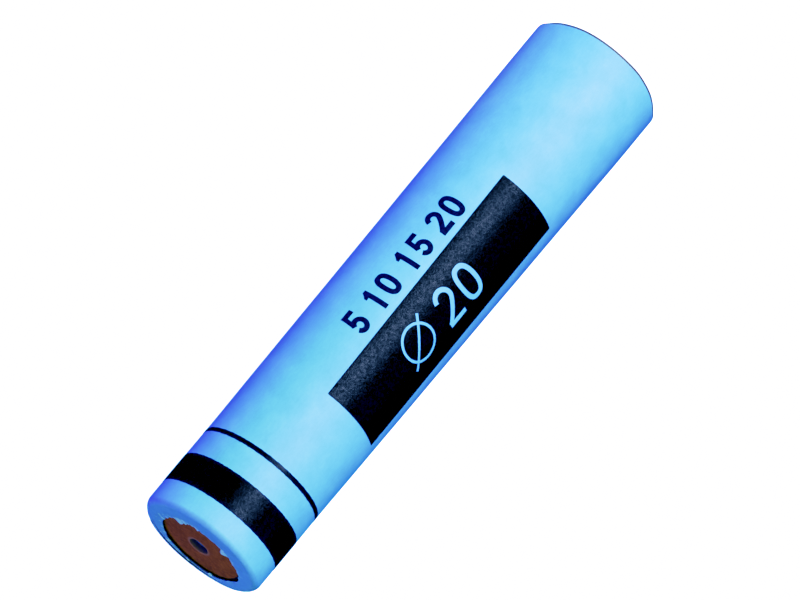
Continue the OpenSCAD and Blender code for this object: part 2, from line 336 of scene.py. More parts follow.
TF = np.concatenate([[FLAP_END - 0.0012, FLAP_END + 0.0006, FLAP_END + 0.004], np.linspace(FLAP_END + 0.012, math.radians(157), 60)])
U = np.concatenate([np.linspace(-1.2, 2.6, 16), [3.4], np.linspace(5, L - 2, 60), [L - 0.5, L - 0.12]])
TFg, Ug = np.meshgrid(TF, U)
fade = smooth(-1.1, 2.2, Ug)
edge_round = np.where(TFg < FLAP_END, 0.55, np.where(TFg < FLAP_END + 0.001, 0.93, 1.0))
curl = 1 + 0.25 * np.sin(0.11 * Ug + 0.8) * np.exp(-((TFg - FLAP_END) / 0.10) ** 2)
top = flap_top(np.maximum(TFg, FLAP_END + 1e-4)) * fade * edge_round * curl
top = np.minimum(top, GLUE + T + 0.01)
x1, r1 = skin(Ug, TFg, top)
x2, r2 = skin(Ug, TFg, np.minimum(top - 0.008, GLUE * 0.5) - 0.03 * (1 - fade) - np.where(TFg > math.radians(140), 0.02 * smooth(math.radians(140), math.radians(157), TFg), 0))
nr, nc = TFg.shape
Vt = to_row(x1, r1 * np.sin(TFg), r1 * np.cos(TFg)).reshape(-1, 3)
Vb = to_row(x2, r2 * np.sin(TFg), r2 * np.cos(TFg)).reshape(-1, 3)
F1 = grid_faces(nr, nc, close_c=False)
n = nr * nc
F2 = grid_faces(nr, nc, close_c=False, flip=True) + n
idx = np.arange(n).reshape(nr, nc)
border = np.concatenate([idx[0, :-1], idx[:-1, -1], idx[-1, :0:-1], idx[:0:-1, 0]])
nb = np.roll(border, -1)
Fs = np.stack([nb, border, border + n, nb + n], -1)
tornf = np.zeros((nr, nc)); tornf[:, 0] = 0.9; tornf[:, 1] = 0.35; tornf[-1, :] = 0.8
# painted shade along the flap's end at the mouth, like the dark line on the mouth's cut edge
edgef = np.zeros((nr, nc)); edgef[-1, :] = 0.9
lap_flap = add_mesh("lap_flap", np.concatenate([Vt, Vb]), np.concatenate([F1, F2, Fs]),
                    {"torn": np.concatenate([tornf.ravel(), tornf.ravel()]), "edge": np.concatenate([edgef.ravel(), edgef.ravel()])}, sharp=50)
outward(lap_flap)

TG = np.linspace(FLAP_END + 0.012, FLAP_END + 0.46, 26)
UG = np.concatenate([np.linspace(4.6, L - 1.2, 90), [L - 0.75]])
TGg, UGg = np.meshgrid(TG, UG)
wob = 0.006 * np.sin(0.9 * UGg + 5 * TGg) + 0.006 * np.sin(0.31 * UGg)
TGw = TGg + (TGg < FLAP_END + 0.013) * wob
ng = TGg.size
Vt = on_wall(UGg, TGw, GLUE * 0.9).reshape(-1, 3)
Vb = on_wall(UGg, TGw, -0.012).reshape(-1, 3)
nr, nc = TGg.shape
idx = np.arange(ng).reshape(nr, nc)
border = np.concatenate([idx[0, :-1], idx[:-1, -1], idx[-1, :0:-1], idx[:0:-1, 0]]); nb = np.roll(border, -1)
glue_line = add_mesh("glue_line", np.concatenate([Vt, Vb]), np.concatenate([
    grid_faces(nr, nc, close_c=False), grid_faces(nr, nc, close_c=False, flip=True) + ng,
    np.stack([nb, border, border + ng, nb + ng], -1)]), sharp=50)
outward(glue_line)

# ---------------------------------------------------------------- board disc with its punched hole
ND = 240
TD = np.linspace(0, 2 * math.pi, ND, endpoint=False)
HOLE_Y, HOLE_Z, HOLE_R, DISC_R, DISC_X, DISC_T = 0.45, -0.58, 1.62, 8.84, 0.65, 1.0
hr = HOLE_R + 0.025 * np.sin(5 * TD) + 0.02 * np.sin(11 * TD + 1)
disc_rows = []


def disc_row(w, x, hole_k=1.0, rim_k=0.0):
    hy, hz = HOLE_Y + hr * hole_k * np.sin(TD), HOLE_Z + hr * hole_k * np.cos(TD)
    if x < DISC_X + 0.3:
        rim_k = rim_k + 0.84
    oy, oz = (DISC_R - rim_k) * np.sin(TD), (DISC_R - rim_k) * np.cos(TD)
    y, z = hy + (oy - hy) * w, hz + (oz - hz) * w
    rr = np.hypot(y, z)
    face = 0.012 * np.sin(0.9 * y + 0.5) * np.cos(0.8 * z - 0.3)
    d = np.hypot(y - HOLE_Y, z - HOLE_Z) - HOLE_R
    disc_rows.append((np.full(ND, x) + (face if abs(x - DISC_X) < 0.2 else 0), y, z, d, rr))


for w, x in ((0.0, DISC_X + 0.06), (0.004, DISC_X + 0.02), (0.012, DISC_X + 0.012), (0.03, DISC_X + 0.02), (0.05, DISC_X + 0.035), (0.065, DISC_X + 0.02), (0.09, DISC_X + 0.012)):
    disc_row(w, x)
for w in np.linspace(0.13, 0.97, 22):
    disc_row(w, DISC_X + 0.012)
disc_row(0.99, DISC_X + 0.02)
disc_row(1.0, DISC_X + 0.09)
disc_row(1.0, DISC_X + 0.5, rim_k=0.16)
disc_row(1.0, DISC_X + DISC_T - 0.09, rim_k=-0.02)
for w in (0.99, 0.7, 0.4, 0.1, 0.012):
    disc_row(w, DISC_X + DISC_T - (0.03 if w > 0.98 else 0.01), hole_k=1.03)
disc_row(0.0, DISC_X + DISC_T - 0.07, hole_k=1.04)
disc_row(0.0, DISC_X + 0.60, hole_k=1.01)
disc_row(0.0, DISC_X + 0.46, hole_k=1.005)
disc_row(0.0, DISC_X + 0.30, hole_k=1.0)
disc_row(0.0, DISC_X + 0.16, hole_k=1.0)
in_hole = len(disc_rows)
x_, y_, z_, d_, rr_ = (np.stack([r[k] for r in disc_rows]) for k in range(5))
bore = (d_ < 0.09) * smooth(DISC_X + 0.20, DISC_X + 0.56, x_)
around = np.cos(phi_of(np.arctan2(y_, z_)))
rr_ = rr_ - 0.30 * smooth(0.1, 0.9, -around)          # the painted shade of the gap under the lip starts further out on the far side
base_board_disc = add_mesh("base_board_disc", to_row(x_, y_, z_).reshape(-1, 3), grid_faces(len(disc_rows), ND, close_r=True),
                           {"from_hole": d_, "from_axis": rr_, "bore": bore, "front": (x_ < DISC_X + 0.2).astype(float), "left": np.clip(0.5 + y_ / 13.0, 0, 1)}, sharp=50)
outward(base_board_disc)


# ---------------------------------------------------------------- ink films
def lean(x0, th):
    p = phi_of(th)
    return 0.019 * R0 * np.sin(p) + 0.056 * R0 * (1 - np.cos(p))


def ink_band(name, x0, w):
    base = np.linspace(0, 2 * math.pi, 480, endpoint=False)
    th = np.sort(np.concatenate([base, FLAP_END + np.array([-0.0026, -0.0013, 0.0008, 0.003]), np.radians([150.5, 153.5, 156.5])]))
    d = (th + math.pi) % (2 * math.pi) - math.pi
    ft = flap_top(th)
    on_edge = np.abs(d - FLAP_END) < 0.0015
    ft = np.where(on_edge & (d < FLAP_END), 0.0, ft)
    jog = np.where(d > FLAP_END, 0.22 * (1 - smooth(FLAP_END, math.radians(175), np.abs(d))), 0.0)
    jog = np.where((d > FLAP_END - 0.0002), jog, 0.0)
    xc = x0 + lean(x0, th) + jog
    ragged = lambda s: 0.018 * np.sin(37 * th + s) + 0.014 * np.sin(83 * th + 2 * s) + 0.010 * np.sin(151 * th + 3 * s)
    a, b = xc + ragged(1.0), xc + w + ragged(4.0)
    cols = []
    e = 0.10
    inner = [a + e, a + 0.22] + ([a + (b - a) * k for k in (0.15, 0.3, 0.45, 0.6, 0.75, 0.88)] if w > 2 else [(a + b) / 2]) + [b - 0.22, b - e]
    rows_ = [(a, -0.014, 1.0), (a + 0.01, INK * 0.8, 1.0)] + [(v, INK, 0.0 if 1 < k < len(inner) - 2 else (1.0 if k in (0, len(inner) - 1) else 0.25)) for k, v in enumerate(inner)] + [(b - 0.01, INK * 0.8, 1.0), (b, -0.014, 1.0)]
    low = [(b - 0.3, -0.016, 1.0), (a + 0.3, -0.016, 1.0)]
    P, E = [], []
    for x, off, ed in rows_ + low:
        r = wall(x) + wave(x, th) + ft + off
        P.append(to_row(x, r * np.sin(th), r * np.cos(th))); E.append(np.full(len(th), ed))
    ob = add_mesh(name, np.stack(P).reshape(-1, 3), grid_faces(len(P), len(th), close_r=True), {"edge": np.stack(E)}, sharp=60)
    return outward(ob)


def inside_poly(pts, poly):
    x, y = pts[:, 0], pts[:, 1]
    c = np.zeros(len(pts), bool)
    px, py = poly[:, 0], poly[:, 1]
    qx, qy = np.roll(px, -1), np.roll(py, -1)
    for k in range(len(poly)):
        hit = (py[k] > y) != (qy[k] > y)
        if hit.any():
            xi = px[k] + (y[hit] - py[k]) / (qy[k] - py[k]) * (qx[k] - px[k])
            c[hit] ^= x[hit] < xi
    return c


def dense(poly, stepmm=0.16, closed=True):
    out = []
    n = len(poly)
    for k in range(n if closed else n - 1):
        a, b = poly[k], poly[(k + 1) % n]
        m = max(1, int(np.ceil(np.hypot(*(b - a)) / stepmm)))
        for i in range(m):
            out.append(a + (b - a) * i / m)
    return np.array(out)


def stroke(path, w, close=False):
    """Outline of a pen stroke of width w along a polyline with mitred corners and square ends."""
    p = np.asarray(path, float)
    n = len(p)
    seg = np.diff(np.vstack([p, p[:1]]) if close else p, axis=0)
    seg /= np.maximum(np.hypot(seg[:, 0], seg[:, 1]), 1e-9)[:, None]
    nor = np.stack([-seg[:, 1], seg[:, 0]], 1)
    off = np.zeros_like(p)
    for i in range(n):
        if close:
            a, b = nor[i - 1], nor[i]
        else:
            a, b = nor[max(i - 1, 0)], nor[min(i, n - 2)]
        m = a + b
        m /= max(np.hypot(*m), 1e-9)
        off[i] = m * (w / 2) / max(m @ b, 0.35)
    if close:
        return [p + off, p - off]
    return [np.vstack([p + off, (p - off)[::-1]])]


def arc(cx, cy, rx, ry, a0, a1, n=20):
    a = np.radians(np.linspace(a0, a1, n))
    return np.stack([cx + rx * np.cos(a), cy + ry * np.sin(a)], 1)


def digit(d, w, h, s):
    """Plain condensed numeral in a box of width w and height h. Returns (solids, holes): lists of outlines."""
    k = s / 2
    if d == 0:
        def oval(o):
            rx, ry = w / 2 - o, h / 2 - o
            a = np.linspace(0, 2 * math.pi, 72, endpoint=False)
            e = 2.5
            return np.stack([w / 2 + rx * np.sign(np.cos(a)) * np.abs(np.cos(a)) ** (2 / e), h / 2 + ry * np.sign(np.sin(a)) * np.abs(np.sin(a)) ** (2 / e)], 1)
        return [oval(0)], [oval(s)]
    if d == 1:
        x = w * 0.56
        return [np.array([[x - k, 0], [x + k, 0], [x + k, h], [x - k * 0.55, h], [x - k * 1.5, h * 0.875], [x - w * 0.36, h * 0.81], [x - w * 0.36, h * 0.70], [x - k, h * 0.715]])], []
    if d == 2:
        c = arc(w / 2, h - w / 2, w / 2 - k, w / 2 - k, 172, -28, 26)
        body = np.vstack([c, [[w * 0.60, h * 0.40], [w * 0.28, h * 0.20], [k * 1.15, k * 1.9]]])
        # smooth the run from the bowl to the foot
        for _ in range(2):
            mid = body.copy(); mid[1:-1] = (body[:-2] + 2 * body[1:-1] + body[2:]) / 4; body = mid
        return stroke(body, s) + [np.array([[k * 0.15, 0], [w, 0], [w, s], [k * 0.15, s]]), np.array([[k * 0.15, 0], [s * 1.3, 0], [s * 1.3, s * 1.6], [k * 0.15, s * 1.25]])], []
    if d == 5:
        rb = w / 2 - k
        cy = 0.325 * h
        bowl = arc(w / 2, cy, rb, cy - k, 158, -158, 34)[::1]
        return stroke(bowl, s) + [np.array([[w * 0.15, h - s], [w * 0.93, h - s], [w * 0.93, h], [w * 0.15, h]]),
                                  np.array([[w * 0.15, h - s * 0.5], [w * 0.06, cy + 0.13 * h], [w * 0.06 + s * 0.92, cy + 0.17 * h], [w * 0.15 + s * 0.9, h - s * 0.5]])], []
    return [], []


def film(name, fills, holes, place, cell=(1.2, 0.24), edge_w=0.0):
    """Ink film over outlines in the plane of the print: crisp outlines, a fine mesh inside that follows the wall, and closed sides."""
    loops = [dense(p) for p in fills + holes]
    pts, edges, at = [], [], 0
    for lp in loops:
        pts.append(lp); m = len(lp)
        edges += [(at + i, at + (i + 1) % m) for i in range(m)]; at += m
    allp = np.concatenate(pts)
    lo, hi = allp.min(0), allp.max(0)
    gx = np.arange(lo[0] + cell[0] * 0.5, hi[0], cell[0]); gy = np.arange(lo[1] + cell[1] * 0.5, hi[1], cell[1])
    G = np.stack(np.meshgrid(gx, gy), -1).reshape(-1, 2)
    G += 0.02 * rng.uniform(-1, 1, G.shape) * np.array(cell)
    if edge_w:
        f = fills[0]
        c = f.mean(0)
        ring_ = dense(c + (f - c) * (1 - 2 * edge_w / (f.max(0) - f.min(0))), 0.3)
        G = np.concatenate([G, ring_])
    keep = np.zeros(len(G), bool)
    for p in fills:
        keep |= inside_poly(G, p)
    for p in holes:
        keep &= ~inside_poly(G, p)
    # keep the free points off the outlines
    G = G[keep]
    d2 = np.full(len(G), 9.0)
    for lp in loops:
        for s0 in range(0, len(G), 4000):
            d2[s0:s0 + 4000] = np.minimum(d2[s0:s0 + 4000], ((G[s0:s0 + 4000, None, :] - lp[None]) ** 2).sum(-1).min(1))
    G = G[d2 > 0.05 ** 2]
    allp = np.concatenate([allp, G])
    res = delaunay_2d_cdt([Vector(p) for p in allp], edges, [], 0, 1e-7)
    P = np.array([tuple(v) for v in res[0]])
    tri = np.array([f for f in res[2] if len(f) == 3], int)
    cen = P[tri].mean(1)
    keep = np.zeros(len(cen), bool)
    for p in fills:
        keep |= inside_poly(cen, p)
    for p in holes:
        keep &= ~inside_poly(cen, p)
    tri = tri[keep]
    used = np.unique(tri); remap = -np.ones(len(P), int); remap[used] = np.arange(len(used))
    P = P[used]; tri = remap[tri]
    a, b, c = P[tri[:, 0]], P[tri[:, 1]], P[tri[:, 2]]
    area = (b[:, 0] - a[:, 0]) * (c[:, 1] - a[:, 1]) - (b[:, 1] - a[:, 1]) * (c[:, 0] - a[:, 0])
    tri[area < 0] = tri[area < 0][:, ::-1]
    e = np.concatenate([tri[:, [0, 1]], tri[:, [1, 2]], tri[:, [2, 0]]])
    key = {(i, j) for i, j in e.tolist()}
    rim = np.array([(i, j) for i, j in key if (j, i) not in key])
    x, th = place(P)
    n = len(P)
    onrim = np.zeros(n); onrim[np.unique(rim)] = 1
    V = np.concatenate([on_wall(x, th, INK - 0.006 * onrim), on_wall(x, th, -0.014)])
    Fs = np.concatenate([np.stack([rim[:, 0], rim[:, 1] + n, rim[:, 1]], 1), np.stack([rim[:, 0], rim[:, 0] + n, rim[:, 1] + n], 1)])
    faces = np.concatenate([tri, tri[:, ::-1] + n, Fs])
    ed = np.zeros(n)
    if edge_w:
        f = fills[0]
        dist = np.minimum.reduce([np.abs(P[:, 0] - f[:, 0].min()), np.abs(P[:, 0] - f[:, 0].max()), np.abs(P[:, 1] - f[:, 1].min()), np.abs(P[:, 1] - f[:, 1].max())])
        ed = 1 - smooth(0.0, edge_w * 1.2, dist)
    ob = add_mesh(name, V, faces, {"edge": np.concatenate([ed, ed])}, sharp=60)
    return outward(ob)


def place_panel(P):
    """Panel plane: x from its left edge, y down the wall from its upper edge, to distance and angle."""
    x = 27.55 + P[:, 0] - 0.040 * P[:, 1]
    s = 0.08 + P[:, 1] + 0.0177 * P[:, 0]
    return x, TC + s / wall(x)


def place_row(P):
    x = 37.9 + P[:, 0] - 0.020 * P[:, 1]
    s = 1.48 + P[:, 1] + 0.010 * P[:, 0]
    return x, TC + s / wall(x)


PW, PH = 44.2, 12.45
corner = 0.12
rect = np.array([[corner, -PH], [PW - corner, -PH], [PW, -PH + corner], [PW, -corner], [PW - corner, 0], [corner, 0], [0, -corner], [0, -PH + corner]])
shift = lambda polys, dx, dy: [p + np.array([dx, dy]) for p in polys]
cx, cy, rr0 = 15.55, -6.05, 3.15
ring_o, ring_i = arc(cx, cy, rr0, rr0, 0, 355, 72), arc(cx, cy, rr0 - 0.46, rr0 - 0.46, 0, 355, 72)
slash = stroke(np.array([[cx - 2.95, cy - 3.25], [cx + 2.95, cy + 3.25]]), 0.46)
d2, _ = digit(2, 3.7, 6.4, 0.80)
d0, h0 = digit(0, 3.8, 6.4, 0.80)
open_marks = {"solid": shift(d2, 21.2, cy - 3.2) + shift(d0, 26.0, cy - 3.2) + [ring_o] + slash,
              "kept": shift(h0, 26.0, cy - 3.2), "ring": ring_i}


def panel_film():
    """The panel is inked all over but for its marks, and the closed middles of the marks are inked again."""
    loops = [rect] + open_marks["solid"] + open_marks["kept"] + [open_marks["ring"]]
    dl = [dense(p, 0.14 if k else 0.3) for k, p in enumerate(loops)]
    pts, edges, at = [], [], 0
    for lp in dl:
        pts.append(lp); m = len(lp)
        edges += [(at + i, at + (i + 1) % m) for i in range(m)]; at += m
    allp = np.concatenate(pts)
    gx = np.arange(0.6, PW, 0.85); gy = np.arange(-PH + 0.12, 0, 0.235)
    G = np.stack(np.meshgrid(gx, gy), -1).reshape(-1, 2)
    for e in (0.09, 0.2):
        G = np.concatenate([G, dense(np.array([[e, -PH + e], [PW - e, -PH + e], [PW - e, -e], [e, -e]]), 0.28)])
    d = np.full(len(G), 9.0)
    for s0 in range(0, len(G), 1500):
        d[s0:s0 + 1500] = ((G[s0:s0 + 1500, None, :] - allp[None]) ** 2).sum(-1).min(1)
    G = G[d > 0.06 ** 2]
    res = delaunay_2d_cdt([Vector(p) for p in np.concatenate([allp, G])], edges, [], 0, 1e-7)
    P = np.array([tuple(v) for v in res[0]]); tri = np.array([f for f in res[2] if len(f) == 3], int)
    cen = P[tri].mean(1)
    marks = np.zeros(len(cen), bool)
    for p in shift(d2, 21.2, cy - 3.2) + shift(d0, 26.0, cy - 3.2):
        marks |= inside_poly(cen, p)
    for p in shift(h0, 26.0, cy - 3.2):
        marks &= ~inside_poly(cen, p)
    ringm = inside_poly(cen, ring_o) & ~inside_poly(cen, ring_i)
    for p in slash:
        ringm |= inside_poly(cen, p)
    keep = inside_poly(cen, rect) & ~marks & ~ringm
    tri = tri[keep]
    used = np.unique(tri); remap = -np.ones(len(P), int); remap[used] = np.arange(len(used)); P = P[used]; tri = remap[tri]
    a, b, c = P[tri[:, 0]], P[tri[:, 1]], P[tri[:, 2]]
    area = (b[:, 0] - a[:, 0]) * (c[:, 1] - a[:, 1]) - (b[:, 1] - a[:, 1]) * (c[:, 0] - a[:, 0])
    tri[area < 0] = tri[area < 0][:, ::-1]
    e = np.concatenate([tri[:, [0, 1]], tri[:, [1, 2]], tri[:, [2, 0]]])
    key = {(i, j) for i, j in e.tolist()}
    rim = np.array(sorted((i, j) for i, j in key if (j, i) not in key))
    x, th = place_panel(P)
    n = len(P)
    onrim = np.zeros(n); onrim[np.unique(rim)] = 1
    V = np.concatenate([on_wall(x, th, INK - 0.006 * onrim), on_wall(x, th, -0.014)])
    Fs = np.concatenate([np.stack([rim[:, 0], rim[:, 1] + n, rim[:, 1]], 1), np.stack([rim[:, 0], rim[:, 0] + n, rim[:, 1] + n], 1)])
    dist = np.minimum.reduce([P[:, 0], PW - P[:, 0], -P[:, 1], PH + P[:, 1]])
    ed = 1 - smooth(0.0, 0.16, dist)
    ob = add_mesh("ink_panel", V, np.concatenate([tri, tri[:, ::-1] + n, Fs]), {"edge": np.concatenate([ed, ed])}, sharp=60)
    return outward(ob)


ink_panel = panel_film()
fills, holes = [], []
DW, DH, DS = 2.62, 4.3, 0.80
for d, x in zip((5, 1, 0, 1, 5, 2, 0), (0.0, 4.55, 7.85, 12.45, 15.75, 20.4, 23.75)):
    f, h = digit(d, DW, DH, DS)
    fills += shift(f, x, 0); holes += shift(h, x, 0)
ink_numerals = film("ink_numerals", fills, holes, place_row, cell=(0.5, 0.22))
ink_wide_band = ink_band("ink_wide_band", 4.21, 5.23)
ink_thin_band = ink_band("ink_thin_band", 13.84, 0.78)


# ---------------------------------------------------------------- materials
class Nodes:
    """Short way to write node trees."""

    def __init__(self, name):
        self.m = bpy.data.materials.new(name)
        self.m.use_nodes = True
        self.t = self.m.node_tree
        self.t.nodes.clear()
        self.out = self.t.nodes.new("ShaderNodeOutputMaterial")
        self.b = self.t.nodes.new("ShaderNodeBsdfPrincipled")
        self.t.links.new(self.b.outputs[0], self.out.inputs[0])
        self.co = self.t.nodes.new("ShaderNodeTexCoord").outputs["Object"]

    def link(self, a, b):
        self.t.links.new(a, b)

    def mapping(self, scale, loc=(0, 0, 0), rot=(0, 0, 0)):
        n = self.t.nodes.new("ShaderNodeMapping")
        n.inputs["Scale"].default_value = scale
        n.inputs["Location"].default_value = loc
        n.inputs["Rotation"].default_value = rot
        self.link(self.co, n.inputs["Vector"])
        return n.outputs[0]

    def noise(self, scale, detail=3.0, rough=0.55, vec=None, dist=0.0):
        n = self.t.nodes.new("ShaderNodeTexNoise")
        n.inputs["Scale"].default_value = scale
        n.inputs["Detail"].default_value = detail
        n.inputs["Roughness"].default_value = rough
        n.inputs["Distortion"].default_value = dist
        self.link(vec if vec is not None else self.co, n.inputs["Vector"])
        return n.outputs["Fac"]

    def ramp(self, fac, stops):
        n = self.t.nodes.new("ShaderNodeValToRGB")
        e = n.color_ramp.elements
        while len(e) < len(stops):
            e.new(0.5)
        for k, (p, c) in enumerate(stops):
            e[k].position = p
            e[k].color = (*c, 1) if len(c) == 3 else c
        self.link(fac, n.inputs[0])
        return n.outputs[0]

    def math(self, op, a, b=None, clamp=False):
        n = self.t.nodes.new("ShaderNodeMath")
        n.operation = op
        n.use_clamp = clamp
        for k, v in enumerate((a, b)):
            if v is None:
                continue
            if isinstance(v, (int, float)):
                n.inputs[k].default_value = v
            else:
                self.link(v, n.inputs[k])
        return n.outputs[0]

    def maprange(self, v, a, b, c, d, smoothstep=False):
        n = self.t.nodes.new("ShaderNodeMapRange")
        if smoothstep:
            n.interpolation_type = "SMOOTHSTEP"
        self.link(v, n.inputs[0])
        for k, x in enumerate((a, b, c, d)):
            n.inputs[k + 1].default_value = x
        return n.outputs[0]

    def mix(self, fac, a, b, mode="MIX"):
        n = self.t.nodes.new("ShaderNodeMix")
        n.data_type = "RGBA"
        n.blend_type = mode
        for sock, v in ((n.inputs["Factor"], fac), (n.inputs[6], a), (n.inputs[7], b)):
            if isinstance(v, (int, float)):
                sock.default_value = v
            elif isinstance(v, tuple):
                sock.default_value = (*v, 1)
            else:
                self.link(v, sock)
        return n.outputs[2]

    def attr(self, name):
        n = self.t.nodes.new("ShaderNodeAttribute")
        n.attribute_name = name
        return n.outputs["Fac"]

    def bump(self, height, strength, distance, normal=None):
        n = self.t.nodes.new("ShaderNodeBump")
        n.inputs["Strength"].default_value = strength
        n.inputs["Distance"].default_value = distance
        self.link(height, n.inputs["Height"])
        if normal is not None:
            self.link(normal, n.inputs["Normal"])
        return n.outputs[0]

    def set(self, **kw):
        for k, v in kw.items():
            s = self.b.inputs[k.replace("_", " ")]
            if isinstance(v, (int, float)):
                s.default_value = v
            elif isinstance(v, tuple):
                s.default_value = (*v, 1) if len(v) == 3 else v
            else:
                self.link(v, s)
        return self


PAPER = (0.200, 0.500, 0.880)


def paper_material(name, base, torn_colour=(0.43, 0.97, 0.96), rough=0.62, inside=False):
    n = Nodes(name)
    cloud = n.noise(260, 3, 0.6)                                       # formation of the sheet, 3 to 4 mm
    fibre = n.noise(1.0, 4, 0.65, vec=n.mapping((900, 2600, 2600)))    # fibres that run along the sleeve
    speck = n.noise(3800, 2, 0.5)
    tone = n.math("ADD", n.maprange(cloud, 0.3, 0.7, -0.045, 0.045), n.maprange(fibre, 0.3, 0.7, -0.030, 0.030))
    tone = n.math("ADD", tone, n.maprange(speck, 0.35, 0.65, -0.012, 0.012))
    fac = n.math("ADD", tone, 0.5)
    dark = tuple(c * 0.80 for c in base)
    light = tuple(min(1.0, c * 1.20) for c in base)
    col = n.ramp(fac, [(0.0, tuple(c * 0.2 for c in base)), (0.5, base), (1.0, tuple(min(1.0, c * 1.9) for c in base))])
    torn = n.math("MULTIPLY", n.attr("torn"), n.maprange(n.noise(5200, 3, 0.6), 0.25, 0.6, 0.55, 1.0))
    col = n.mix(torn, col, torn_colour)
    if not inside:
        # painted shade: the edge attribute darkens the paper to near black along the mouth's cut edge and along the
        # shoulder's turn on the far side
        col = n.mix(n.math("MULTIPLY", n.attr("edge"), 0.97, clamp=True), col, (0.085, 0.035, 0.012))
    if not inside:
        # painted light and shade multiplied into the colour: a greener lit patch near the base, a lighter patch near
        # the mouth and a darker band along the right-hand side
        for key, tint in (("painted_light_tint", (0.90, 1.045, 0.74)), ("pale", (1.24, 1.34, 0.96)), ("deep", (0.72, 0.61, 0.88)), ("deep_base", (0.62, 0.96, 1.0))):
            col = n.mix(n.attr(key), col, n.mix(1.0, col, tint, "MULTIPLY"))
    r = n.maprange(fibre, 0.3, 0.7, rough - 0.05, rough + 0.05)
    h = n.math("ADD", n.math("MULTIPLY", fibre, 0.6), n.math("MULTIPLY", speck, 0.4))
    nor = n.bump(h, 0.16, 0.00006)
    n.set(Base_Color=col, Roughness=r, Normal=nor)
    n.b.inputs["IOR"].default_value = 1.45
    if inside:
        # painted light: the paper of the bore glows faintly violet, though nothing in it is a lamp
        n.set(Emission_Color=(0.72, 0.50, 1.0))
        n.b.inputs["Emission Strength"].default_value = 0.085
    return n.m


m_paper = paper_material("sleeve_paper_blue", PAPER)
m_inside = paper_material("sleeve_paper_bore", (0.085, 0.27, 0.72), rough=0.75, inside=True)


def ink_material(name, base, edge, rough):
    n = Nodes(name)
    grain = n.noise(4200, 3, 0.7)
    coarse = n.noise(1900, 2, 0.6)
    fleck = n.maprange(n.noise(6000, 2, 0.8), 0.60, 0.80, 0.0, 1.0)
    col = n.mix(n.attr("edge"), base, edge)
    col = n.mix(n.math("MULTIPLY", fleck, 0.35), col, tuple(c * 3 + 0.004 for c in base))
    h = n.math("ADD", n.math("MULTIPLY", grain, 0.7), n.math("MULTIPLY", coarse, 0.5))
    nor = n.bump(h, 0.8, 0.00007)
    r = n.maprange(grain, 0.3, 0.7, rough - 0.06, rough + 0.06)
    n.set(Base_Color=col, Roughness=r, Normal=nor)
    n.b.inputs["IOR"].default_value = 1.45
    n.b.inputs["Specular Tint"].default_value = (0.90, 0.97, 0.91, 1)
    dark = n.t.nodes.new("ShaderNodeBsdfDiffuse")
    dark.inputs[0].default_value = (0, 0, 0, 1)
    ms = n.t.nodes.new("ShaderNodeMixShader")
    blot = n.noise(2100, 2, 0.75)
    n.link(n.maprange(blot, 0.34, 0.66, 0.92, 0.54), ms.inputs[0])
    n.link(n.b.outputs[0], ms.inputs[1])
    n.link(dark.outputs[0], ms.inputs[2])
    n.link(ms.outputs[0], n.out.inputs[0])
    return n.m


m_ink = ink_material("printing_ink_black", (0.0012, 0.0016, 0.0030), (0.004, 0.006, 0.10), 0.27)
m_navy = ink_material("printing_ink_navy", (0.012, 0.010, 0.14), (0.012, 0.012, 0.18), 0.42)

n = Nodes("base_board_brown")
fib = n.noise(1.0, 4, 0.7, vec=n.mapping((1500, 900, 2600), rot=(0.5, 0, 0)))
clump = n.noise(420, 3, 0.6)
fine = n.noise(3200, 3, 0.7)
c = n.ramp(clump, [(0.30, (0.305, 0.090, 0.014)), (0.5, (0.370, 0.122, 0.020)), (0.70, (0.430, 0.160, 0.029))])
c = n.mix(n.maprange(fib, 0.42, 0.62, 0.0, 0.5), c, (0.28, 0.098, 0.021))
c = n.mix(n.maprange(n.noise(1500, 2, 0.6), 0.44, 0.66, 0.0, 0.38), c, (0.50, 0.200, 0.034))
c = n.mix(n.maprange(n.noise(1300, 2, 0.6, dist=0.4), 0.48, 0.34, 0.0, 0.35), c, (0.24, 0.060, 0.020))
c = n.mix(n.maprange(fine, 0.60, 0.75, 0.0, 0.45), c, (0.56, 0.26, 0.07))
c = n.mix(n.maprange(fine, 0.36, 0.24, 0.0, 0.6), c, (0.12, 0.035, 0.02))
near_hole = n.maprange(n.attr("from_hole"), 0.10, 0.62, 1.0, 0.0, smoothstep=True)
c = n.mix(n.math("MULTIPLY", near_hole, 0.55), c, (0.50, 0.33, 0.19))
c = n.mix(n.maprange(n.attr("from_hole"), 0.0, 0.10, 0.5, 0.0), c, (0.26, 0.13, 0.10))
c = n.mix(n.attr("left"), n.mix(1.0, c, (0.92, 0.93, 0.66), "MULTIPLY"), n.mix(1.0, c, (0.90, 0.78, 0.82), "MULTIPLY"))
c = n.mix(n.attr("bore"), c, (0.105, 0.075, 0.115))
# painted shade: the front of the disc is painted near black beyond the lip's edge, where the gap under the lip lies in
# shade
lip_gap_shade = n.math("MULTIPLY", n.attr("front"), n.maprange(n.math("ADD", n.attr("from_axis"), n.math("MULTIPLY", n.math("SUBTRACT", clump, 0.5), 0.7)), 6.76, 6.84, 0.0, 1.0, smoothstep=True))
c = n.mix(lip_gap_shade, c, (0.004, 0.004, 0.010))
n.set(Base_Color=c, Roughness=0.9, Normal=n.bump(n.math("ADD", n.math("MULTIPLY", fib, 0.6), n.math("MULTIPLY", fine, 0.5)), 0.5, 0.00008))
n.b.inputs["IOR"].default_value = 1.35
m_board = n.m

n = Nodes("paper_glue_dry")
g = n.noise(900, 3, 0.6)
n.set(Base_Color=n.ramp(g, [(0.3, (0.62, 0.55, 0.40)), (0.7, (0.80, 0.74, 0.58))]), Roughness=n.maprange(g, 0.3, 0.7, 0.35, 0.6),
      Normal=n.bump(g, 0.4, 0.00005))
m_glue = n.m

